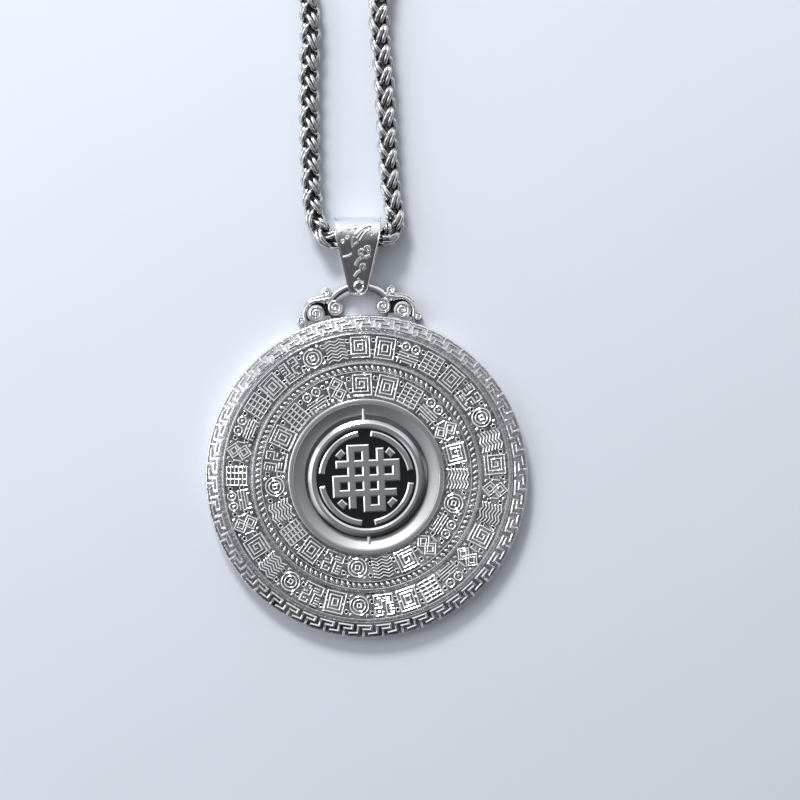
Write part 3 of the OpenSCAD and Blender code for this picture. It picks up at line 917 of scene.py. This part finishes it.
def knot_blocks():
    """The flat bars of the closed knot and the four short ones at its corners, as (x0, y0, x1, y1)."""
    half = KNOT_BAR_W / 2
    blocks = []
    for s in (-1, 0, 1):
        reach = KNOT_REACH - half * abs(s)
        middle = s * KNOT_PITCH
        blocks.append((middle - half, -reach, middle + half, reach))
        blocks.append((-reach, middle - half, reach, middle + half))
    bridge = points((-KNOT_PITCH - half, KNOT_REACH - KNOT_BAR_W), (half, KNOT_REACH))
    for turn in range(4):
        a, b = [Matrix.Rotation(turn * math.pi / 2, 2) @ corner for corner in bridge]
        blocks.append((min(a.x, b.x), min(a.y, b.y), max(a.x, b.x), max(a.y, b.y)))
    return blocks


def draw_blocks(bm, blocks):
    """One flat sheet with the joint outline of the blocks: a square is cut at their edges and cleared."""
    bmesh.ops.create_grid(bm, x_segments=1, y_segments=1, size=KNOT_REACH + 1)
    for axis, normal in enumerate(((1, 0, 0), (0, 1, 0))):
        for cut in sorted({round(block[i], 4) for block in blocks for i in (axis, axis + 2)}):
            geom = bm.verts[:] + bm.edges[:] + bm.faces[:]
            bmesh.ops.bisect_plane(bm, geom=geom, plane_co=Vector(normal) * cut, plane_no=normal)
    empty = []
    for f in bm.faces:
        x, y, _ = f.calc_center_median()
        if not any(x0 < x < x1 and y0 < y < y1 for x0, y0, x1, y1 in blocks):
            empty.append(f)
    bmesh.ops.delete(bm, geom=empty, context="FACES")


def disc_hollow(co):
    """The disc's painted shade: most at the foot of its bars and on its outer edge, a little in its recess."""
    r = math.hypot(co.x, co.y + DISC_DROP)
    # The outer edge, in the gap by the cove, is painted dark: painted shade that dims its reflection there
    if r > DISC_R - 0.02:
        return 0.8
    if co.z < AXLE_Z + DISC_RECESS_Z - 0.01 or r > DISC_RIM_IN_R - 0.01:
        return 0.25
    return max(1.4 - (co.z - AXLE_Z - DISC_RECESS_Z) / 0.25, 0.15)


class PENDANT_OT_turning_disc(bpy.types.Operator):
    """Turns the centre disc and raises its closed knot of bevelled bars"""

    bl_idname = "pendant.turning_disc"
    bl_label = "Turning disc"

    def execute(self, context):
        crest = DISC_T / 2
        rim_across, rim_down = DISC_RIM_CHAMFER
        at_axle = Matrix.Translation((0, -DISC_DROP, AXLE_Z))
        bm = bmesh.new()
        turned(bm, [
            (0, -crest + DISC_BACK_DEPTH), (DISC_RIM_IN_R - DISC_BACK_DEPTH, -crest + DISC_BACK_DEPTH),
            (DISC_RIM_IN_R, -crest), (DISC_R - DISC_EDGE, -crest), (DISC_R, -DISC_EDGE_Z),
            (DISC_R, DISC_EDGE_Z), (DISC_R - DISC_EDGE, crest), (DISC_RIM_IN_R + rim_across, crest),
            (DISC_RIM_IN_R, crest - rim_down), (DISC_RIM_IN_R - 0.02, DISC_RECESS_Z), (0, DISC_RECESS_Z),
        ], steps=144)
        bmesh.ops.transform(bm, matrix=at_axle, verts=bm.verts[:])
        finish_piece(
            bm, "turning_disc_body", "polished_silver", "turning_disc", body="disc",
            hollow=disc_hollow, sharp=20,
        )

        bm = bmesh.new()
        draw_blocks(bm, knot_blocks())
        for turn in (45, 135, 225, 315):
            for r_in, r_out, half, steps in KNOT_ARCS:
                draw_stroke(bm, arc((0, 0), (r_in + r_out) / 2, turn - half, 2 * half, steps), r_out - r_in)
        raise_relief(bm, DISC_BAR_Z - DISC_RECESS_Z + KNOT_SINK, KNOT_CHAMFER, fall=0.5)
        bmesh.ops.translate(bm, vec=(0, 0, DISC_RECESS_Z - KNOT_SINK), verts=bm.verts[:])
        bmesh.ops.transform(bm, matrix=at_axle, verts=bm.verts[:])
        finish_piece(
            bm, "knot_bars", "polished_silver", "turning_disc", body="disc",
            hollow=disc_hollow, sharp=12,
        )
        return {"FINISHED"}


class PENDANT_OT_pins(bpy.types.Operator):
    """Polishes the two pins that the disc turns on"""

    bl_idname = "pendant.pins"
    bl_label = "Pins"

    def execute(self, context):
        for node in ("upper_pin", "lower_pin"):
            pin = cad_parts[node]
            pin.data.materials.clear()
            pin.data.materials.append(metal_material("polished_silver"))
        return {"FINISHED"}


# The bail


def bail_side():
    """The bail's closed side outline of (y, z) points: two round bends joined by straight sides."""
    dy, dz = BAIL_FOOT[0] - BAIL_TOP[0], BAIL_FOOT[1] - BAIL_TOP[1]
    base = math.degrees(math.atan2(dz, dy))
    swing = math.degrees(math.acos((BAIL_TOP[2] - BAIL_FOOT[2]) / math.hypot(dy, dz)))
    top = arc(BAIL_TOP[:2], BAIL_TOP[2], base + swing, 360 - 2 * swing, 28)
    foot = arc(BAIL_FOOT[:2], BAIL_FOOT[2], base - swing, 2 * swing, 28)
    shares = [i / 14 for i in range(1, 14)]
    front = [top[-1].lerp(foot[0], share) for share in shares]
    back = [foot[-1].lerp(top[0], share) for share in shares]
    return top + front + foot + back


def swing_bail(bm):
    """Swings what is drawn along the bail's own middle line aside about its foot."""
    turn = (
        Matrix.Translation((0, BAIL_FOOT[0], 0))
        @ Matrix.Rotation(-math.radians(BAIL_SWING), 4, "Z")
        @ Matrix.Translation((0, -BAIL_FOOT[0], 0))
    )
    bmesh.ops.transform(bm, matrix=turn, verts=bm.verts[:])


def bail_half_width(y):
    """Half the bail's width at a height y seen from the front, with a rounded foot."""
    foot_y = BAIL_FOOT[0] - BAIL_FOOT[2]
    round_end = polar(1, BAIL_FOOT_ANGLE)
    shoulder_y = foot_y + BAIL_FOOT_ROUND * (1 - round_end.x)
    if y <= foot_y:
        return 0.0
    if y < shoulder_y:
        lift = (y - foot_y) / BAIL_FOOT_ROUND
        return BAIL_FOOT_W / 2 * math.sqrt(max(1 - (1 - lift) ** 2, 0))
    rows = (
        (shoulder_y, BAIL_FOOT_W / 2 * round_end.y),
        (BAIL_TOP[0], BAIL_TOP_W / 2 - 0.15),
        (BAIL_WIDEST_Y, BAIL_TOP_W / 2),
    )
    for (y0, w0), (y1, w1) in zip(rows, rows[1:]):
        if y <= y1:
            return w0 + (w1 - w0) * (y - y0) / (y1 - y0)
    return rows[-1][1]


def bail_front(y, lift):
    """The point lifted off the bail's front face at a height y, as (y, z)."""
    top, foot = BAIL_TOP, BAIL_FOOT
    dy, dz = top[0] - foot[0], top[1] - foot[1]
    lean = math.atan2(dz, dy) + math.asin((top[2] - foot[2]) / math.hypot(dy, dz))
    touch = top[0] - top[2] * math.sin(lean)
    foot_touch = foot[0] - foot[2] * math.sin(lean)
    if y > touch:
        c, r = top, top[2]
    elif y < foot_touch:
        c, r = foot, foot[2]
    else:
        z = top[1] + top[2] * math.cos(lean) - (touch - y) * math.tan(lean)
        return y - lift * math.sin(lean), z + lift * math.cos(lean)
    across = max(min((y - c[0]) / r, 0.999), -0.999)
    up = math.sqrt(1 - across * across)
    return c[0] + (r + lift) * across, c[1] + (r + lift) * up


def on_bail(x, y):
    """The point of the bail's front face at a flat place."""
    return Vector((x, *bail_front(y, 0.0)))


class PENDANT_OT_bail(bpy.types.Operator):
    """Folds the tapered strap and raises its edges, leaf and cloud scrolls"""

    bl_idname = "pendant.bail"
    bl_label = "Bail"

    def execute(self, context):
        bm = bmesh.new()
        self.fold_strap(context, bm)
        swing_bail(bm)
        finish_piece(bm, "bail_strap", "worn_silver", "bail")

        bm = bmesh.new()
        low, high = BAIL_EDGE_SPAN
        rows = [low + (high - low) * i / 40 for i in range(41)]
        for side in (1, -1):
            tube(bm, [on_bail(side * (bail_half_width(y) - BAIL_EDGE_IN), y) for y in rows], BAIL_EDGE_R, 8)
        foot_y = BAIL_FOOT[0] - BAIL_FOOT[2] + BAIL_FOOT_EDGE_IN
        foot_half = BAIL_FOOT_W / 2 - BAIL_FOOT_EDGE_IN
        bend = arc((0, 0), 1, -BAIL_FOOT_ANGLE, 2 * BAIL_FOOT_ANGLE, 20)
        foot = [on_bail(foot_half * aside, foot_y + BAIL_FOOT_ROUND * (1 - ahead)) for ahead, aside in bend]
        tube(bm, foot, BAIL_EDGE_R, 8)
        swing_bail(bm)
        finish_piece(bm, "bail_edges", "polished_silver", "bail")

        bm = bmesh.new()
        self.raise_clouds(bm)
        swing_bail(bm)
        finish_piece(bm, "bail_clouds", "cloud_silver", "bail", sharp=25)
        return {"FINISHED"}

    def fold_strap(self, context, bm):
        """Extrudes the side outline across, narrows it by height and gives it a wall with worn edges."""
        columns = 12
        sheet = bmesh.new()
        row = [sheet.verts.new((-1, y, z)) for y, z in bail_side()]
        edges = [sheet.edges.new(pair) for pair in zip(row, row[1:] + row[:1])]
        for _ in range(columns):
            made = bmesh.ops.extrude_edge_only(sheet, edges=edges)["geom"]
            verts = set(verts_of(made))
            edges = [e for e in made if isinstance(e, bmesh.types.BMEdge) and verts.issuperset(e.verts)]
            bmesh.ops.translate(sheet, vec=(2 / columns, 0, 0), verts=list(verts))
        for v in sheet.verts:
            v.co.x *= max(bail_half_width(v.co.y), 0.02)
        bmesh.ops.remove_doubles(sheet, verts=sheet.verts[:], dist=1e-4)
        bmesh.ops.recalc_face_normals(sheet, faces=sheet.faces[:])
        strap = bpy.data.objects.new("strap", as_mesh(sheet))
        context.scene.collection.objects.link(strap)
        set_all(
            strap.modifiers.new("wall", "SOLIDIFY"), thickness=BAIL_WALL, offset=-1, use_even_offset=True
        )
        set_all(
            strap.modifiers.new("edge", "BEVEL"), width=BAIL_WEAR_R, segments=2, limit_method="ANGLE",
            angle_limit=math.radians(50),
        )
        context.view_layer.update()
        bm.from_mesh(bpy.data.meshes.new_from_object(strap.evaluated_get(context.evaluated_depsgraph_get())))
        bpy.data.objects.remove(strap)

    def raise_clouds(self, bm):
        """Raises the ring at the foot, the clouds, the leaf and the dots, each one carved to lean aside."""
        motifs = [
            (arc(at, r_out, start, turn, steps, r_in), width, False)
            for at, r_out, r_in, start, turn, width, steps in CLOUD_CURLS
        ]
        motifs += [(points(*path), width, False) for width, path in CLOUD_STROKES]
        motifs += [(arc(at, CLOUD_DOT_R, 0, 360, 10)[:-1], CLOUD_DOT_W, True) for at in CLOUD_DOTS]
        for path, width, closed in motifs:
            one = bmesh.new()
            draw_stroke(one, path, width, closed)
            raise_relief(one, CLOUD_H + CLOUD_SINK, CLOUD_CHAMFER)
            middle = sum((v.co for v in one.verts), Vector()) / len(one.verts)
            for v in one.verts:
                if v.co.z > CLOUD_H / 2:
                    lean = CLOUD_LEAN * CLOUD_LEAN_SIDE.dot((v.co - middle).xy)
                    v.co.z += min(max(lean, -CLOUD_LEAN_MAX), CLOUD_LEAN_MAX)
            add_part(bm, one)
        for v in bm.verts:
            y, z = bail_front(v.co.y, v.co.z - CLOUD_SINK)
            v.co = (v.co.x, y, z)


# The chain


def smooth_route(route, spacing=0.3):
    """The chain's smooth centre line as closely spaced points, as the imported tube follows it."""
    rows = [Vector(p) for p in route]
    last = len(rows) - 1
    dense = []
    for i in range(last):
        a, b, c, d = rows[max(i - 1, 0)], rows[i], rows[i + 1], rows[min(i + 2, last)]
        steps = max(int((c - b).length / spacing), 2)
        for k in range(steps):
            t = k / steps
            dense.append(0.5 * (
                2 * b + (c - a) * t + (2 * a - 5 * b + 4 * c - d) * t ** 2 + (3 * b - a - 3 * c + d) * t ** 3
            ))
    dense.append(rows[last])
    return dense


class Route:
    """Place and cross directions along a line of points, by length."""

    def __init__(self, line):
        self.line = line
        self.at = [0.0]
        for a, b in zip(line, line[1:]):
            self.at.append(self.at[-1] + (b - a).length)
        self.length = self.at[-1]

    def frame(self, s):
        """Centre, sideways and upward directions at length s; the ends run on straight."""
        s_in = min(max(s, 0.0), self.length)
        last = len(self.line) - 1
        lo = min(bisect.bisect_right(self.at, s_in), last) - 1
        t = (s_in - self.at[lo]) / (self.at[lo + 1] - self.at[lo])
        along = (self.line[min(lo + 2, last)] - self.line[max(lo - 1, 0)]).normalized()
        side = along.cross(Vector((0, 0, 1))).normalized()
        centre = self.line[lo].lerp(self.line[lo + 1], t) + along * (s - s_in)
        return centre, side, side.cross(along)


# A quarter of one folded link as (sideways, outwards, along), from the bottom of its fold to its ear's tip
LINK_QUARTER = (
    (0.28, 0, 0), (0.34, 0.62, 0.35), (0.36, 0.96, 0.95), (0.34, 1.06, 1.6), (0.24, 0.98, 2.2), (0, 0.84, 2.5)
)
LINK_SIDES = 6

# How dark the painted shade between the links makes a link, as (darkness, how far out it is that dark,
# distance outwards that clears it by 1)
LINK_PAINTED_SHADE = (0.9, 0.5, 0.6)

# How far a link begins before its place, its middle, and its lean in degrees for each millimetre from there
LINK_START = 0.5
LINK_MIDDLE = 1.5
LINK_LEAN = 22

# The chain's twist on the left, its growth to the right, in degrees, and between which shares of the length
CHAIN_TWIST = (-18, 40)
CHAIN_TWIST_SPAN = (0.46, 0.54)


def link_path():
    """The closed centre line of a folded link: two ears that point along the chain, one to each side."""
    quarter = [Vector(p) for p in LINK_QUARTER]
    half = quarter + [Vector((-p.x, p.y, p.z)) for p in reversed(quarter[:-1])]
    return half + [Vector((p.x, -p.y, p.z)) for p in reversed(half[1:-1])]


def link_mesh(wire_r):
    """One link: a ring is spun and each of its sections is set square to the folded path."""
    path = link_path()
    count = len(path)
    bm = bmesh.new()
    row = [
        bm.verts.new((2 + math.cos(math.tau * k / LINK_SIDES), 0, math.sin(math.tau * k / LINK_SIDES)))
        for k in range(LINK_SIDES)
    ]
    edges = [bm.edges.new(pair) for pair in zip(row, row[1:] + row[:1])]
    bmesh.ops.spin(
        bm, geom=row + edges, cent=(0, 0, 0), axis=(0, 0, 1), angle=math.tau, steps=count, use_merge=True
    )
    for v in bm.verts:
        i = round(math.atan2(v.co.y, v.co.x) / math.tau * count) % count
        across, rise = math.hypot(v.co.x, v.co.y) - 2, v.co.z
        along = (path[(i + 1) % count] - path[i - 1]).normalized()
        outwards = Vector((path[i].x, path[i].y, 0))
        outwards = (outwards - along * outwards.dot(along)).normalized()
        v.co = path[i] + wire_r * (outwards * across + along.cross(outwards) * rise)
    bmesh.ops.recalc_face_normals(bm, faces=bm.faces[:])
    return as_mesh(bm)


def chain_twist(share):
    """The chain's twist at a share of its length: its two strands lie on different sides."""
    start, end = CHAIN_TWIST_SPAN
    return CHAIN_TWIST[0] + CHAIN_TWIST[1] * min(max((share - start) / (end - start), 0.0), 1.0)


class PENDANT_OT_chain(bpy.types.Operator):
    """Links the wheat chain along its whole route through the bail"""

    bl_idname = "pendant.chain"
    bl_label = "Wheat chain"

    def execute(self, context):
        sizes = context.scene.pendant_sizes
        route = Route(smooth_route(CHAIN_ROUTE))
        link = link_mesh(sizes.link_wire_r)
        dark, dark_r, reach = LINK_PAINTED_SHADE
        bm = bmesh.new()
        depths = []
        for k in range(int(route.length / sizes.link_step)):
            first = len(bm.verts)
            bm.from_mesh(link)
            bm.verts.ensure_lookup_table()
            turn = 45 + 90 * (k % 2)
            lean = LINK_LEAN * (1 - 2 * (k % 2))
            for v in bm.verts[first:]:
                depths.append(dark - (math.hypot(v.co.x, v.co.y) - dark_r) / reach)
                s = k * sizes.link_step - LINK_START + v.co.z
                roll = math.radians(turn + chain_twist(s / route.length) + lean * (v.co.z - LINK_MIDDLE))
                centre, side, up = route.frame(s)
                u = side * math.cos(roll) + up * math.sin(roll)
                w = up * math.cos(roll) - side * math.sin(roll)
                v.co = centre + u * v.co.x + w * v.co.y
        finish_piece(bm, "wheat_chain", "wheat_steel", "chain", hollow=depths, sharp=75)

        bm = bmesh.new()
        tube(bm, [route.frame(route.length * i / 400)[0] for i in range(401)], CHAIN_CORE_R, 8)
        depths = [1.0] * len(bm.verts)
        finish_piece(bm, "chain_shadow", "wheat_steel", "chain", hollow=depths, sharp=60)
        return {"FINISHED"}


class PENDANT_OT_clasp(bpy.types.Operator):
    """Turns the plain barrel clasp"""

    bl_idname = "pendant.clasp"
    bl_label = "Barrel clasp"

    def execute(self, context):
        half = CLASP_L / 2
        profile = [
            (0, -half), (CLASP_R - 0.55, -half), (CLASP_R - 0.15, 0.35 - half), (CLASP_R, 0.8 - half),
            (CLASP_R, 1.3 - half), (CLASP_R - 0.12, 1.4 - half), (CLASP_R - 0.12, 1.55 - half),
            (CLASP_R, 1.65 - half), (CLASP_R, -0.2), (CLASP_R - 0.15, 0),
        ]
        profile += [(r, -z) for r, z in reversed(profile[:-1])]
        bm = bmesh.new()
        turned(bm, profile, steps=48)
        place = Matrix.Translation((0, CLASP_Y, CLASP_R)) @ Matrix.Rotation(math.pi / 2, 4, "Y")
        bmesh.ops.transform(bm, matrix=place, verts=bm.verts[:])
        finish_piece(bm, "barrel_clasp", "wheat_steel", "clasp")
        return {"FINISHED"}


# The stage

# The photo's frame: its centre, its width, how high the plane they're measured in lies, and its lean
PHOTO_CENTRE = (4.8, 9.76)
PHOTO_WIDTH = 104.0
PHOTO_LEVEL = 2.0
PHOTO_LEAN = 2.5
SENSOR_W = 36

# The floor, in metres
FLOOR_HALF = 1.5
FLOOR_Z = -0.00002

# The room: its darkest direction, and how light it is by the cosine of the angle from there
DARK_SIDE = (0.45, -0.7, 0.45)
SKY_TINT = (0.97, 0.99, 1.03)
SKY_ROWS = (
    (0, 0.95), (0.15, 0.85), (0.3, 0.5), (0.46, 0.23), (0.62, 0.22), (0.75, 0.14), (0.87, 0.08), (1, 0.05),
)

# The lights, all aimed at one point, as (name, place, size, watts, colour)
LIGHT_TARGET = (0, 0.02, 0)
LIGHTS = (
    ("window", (-0.57, 0.15, 0.42), (0.38, 0.34), 0.92, (0.98, 0.99, 1.0)),
    ("lamp", (-0.19, 0.65, 0.4), (0.22, 0.15), 5.4, (1.0, 0.99, 0.98)),
    ("fill", (0.35, -0.2, 0.6), (0.4, 0.4), 0.25, (0.93, 0.96, 1.0)),
)


def paper_material():
    """White paper with a faint fibre and painted shade that makes it a little darker towards the lower right.
    """
    paper = bpy.context.scene.pendant_colours.paper
    material = bpy.data.materials.new("paper")
    tree = Tree(material)
    place = tree.add("ShaderNodeTexCoord").outputs["Object"]
    fibre = tree.add("ShaderNodeTexNoise", {"Vector": place, "Scale": 60})
    across = tree.add("ShaderNodeVectorMath", {0: place, 1: (-3.5, 6, 0)}, operation="DOT_PRODUCT")
    middle = tree.add("ShaderNodeMath", {0: across.outputs["Value"], 1: 0.5})
    shade = tree.add(
        "ShaderNodeMath", {0: fibre.outputs["Fac"], 1: 0.1, 2: middle.outputs[0]}, operation="MULTIPLY_ADD",
        use_clamp=True,
    )
    colour = tree.add("ShaderNodeMix", {
        "Factor": shade.outputs[0], "A": (*[x * 0.8 for x in paper], 1), "B": (*paper, 1),
    }, data_type="RGBA")
    shader = tree.add("ShaderNodeBsdfPrincipled", {"Base Color": colour.outputs["Result"], "Roughness": 0.9})
    tree.add("ShaderNodeOutputMaterial", {"Surface": shader.outputs["BSDF"]})
    return material


def room():
    """The world: a room that is dark on one side."""
    world = bpy.data.worlds.new("studio")
    tree = Tree(world)
    place = tree.add("ShaderNodeTexCoord").outputs["Generated"]
    toward = tree.add(
        "ShaderNodeVectorMath", {0: place, 1: Vector(DARK_SIDE).normalized()}, operation="DOT_PRODUCT"
    )
    shade = tree.add("ShaderNodeValToRGB", {"Fac": toward.outputs["Value"]})
    fill_ramp(shade.color_ramp, [(near, [light * x for x in SKY_TINT]) for near, light in SKY_ROWS])
    sky = tree.add("ShaderNodeBackground", {"Color": shade.outputs["Color"], "Strength": 1.0})
    tree.add("ShaderNodeOutputWorld", {"Surface": sky.outputs["Background"]})
    return world


def softbox(name, place, size, power, colour):
    """Hangs a rectangular light in the room."""
    light = bpy.data.lights.new(name, "AREA")
    set_all(light, shape="RECTANGLE", size=size[0], size_y=size[1], energy=power, color=colour)
    lamp = bpy.data.objects.new(name, light)
    bpy.context.scene.collection.objects.link(lamp)
    lamp.location = place
    lamp.rotation_euler = (Vector(LIGHT_TARGET) - Vector(place)).to_track_quat("-Z", "Y").to_euler()


class PENDANT_OT_stage(bpy.types.Operator):
    """Lays the paper, hangs the lights and sets the camera above the pendant"""

    bl_idname = "pendant.stage"
    bl_label = "Stage"

    def execute(self, context):
        scene = context.scene
        bm = bmesh.new()
        bmesh.ops.create_grid(bm, x_segments=1, y_segments=1, size=FLOOR_HALF)
        mesh = bpy.data.meshes.new("paper_floor")
        bm.to_mesh(mesh)
        bm.free()
        mesh.materials.append(paper_material())
        floor = bpy.data.objects.new("paper_floor", mesh)
        floor.location = (0, 0, FLOOR_Z)
        scene.collection.objects.link(floor)

        scene.world = room()
        scene.view_settings.view_transform = "Standard"
        for light in LIGHTS:
            softbox(*light)

        camera = bpy.data.objects.new("camera", bpy.data.cameras.new("camera"))
        scene.collection.objects.link(camera)
        height = scene.pendant_sizes.camera_height
        camera.location = (PHOTO_CENTRE[0] * MM, PHOTO_CENTRE[1] * MM, height)
        camera.rotation_euler = (0, 0, -math.radians(PHOTO_LEAN))
        camera.data.sensor_width = SENSOR_W
        camera.data.lens = SENSOR_W * (height - PHOTO_LEVEL * MM) / (PHOTO_WIDTH * MM)
        camera.data.clip_start = 0.01
        scene.camera = camera
        return {"FINISHED"}


class PENDANT_PT_panel(bpy.types.Panel):
    """Lists the pieces of the pendant in the sidebar"""

    bl_label = "Medallion Pendant"
    bl_idname = "PENDANT_PT_panel"
    bl_space_type = "VIEW_3D"
    bl_region_type = "UI"
    bl_category = "Pendant"

    def draw(self, context):
        for group in (context.scene.pendant_sizes, context.scene.pendant_colours):
            box = self.layout.box()
            for name in group.__annotations__:
                box.prop(group, name)
        for operator in OPERATORS:
            self.layout.operator(operator.bl_idname)


OPERATORS = (
    PENDANT_OT_medallion_body, PENDANT_OT_key_fret, PENDANT_OT_rope_ring, PENDANT_OT_ornament_bands,
    PENDANT_OT_shoulders, PENDANT_OT_turning_disc, PENDANT_OT_pins, PENDANT_OT_bail, PENDANT_OT_chain,
    PENDANT_OT_clasp, PENDANT_OT_stage,
)
CLASSES = (PendantSizes, PendantColours, *OPERATORS, PENDANT_PT_panel)


def register():
    for cls in CLASSES:
        bpy.utils.register_class(cls)
    bpy.types.Scene.pendant_sizes = PointerProperty(type=PendantSizes)
    bpy.types.Scene.pendant_colours = PointerProperty(type=PendantColours)


def unregister():
    del bpy.types.Scene.pendant_colours
    del bpy.types.Scene.pendant_sizes
    for cls in reversed(CLASSES):
        bpy.utils.unregister_class(cls)


def main():
    register()
    for operator in OPERATORS:
        group, name = operator.bl_idname.split(".")
        getattr(getattr(bpy.ops, group), name)()


if __name__ == "__main__":
    main()
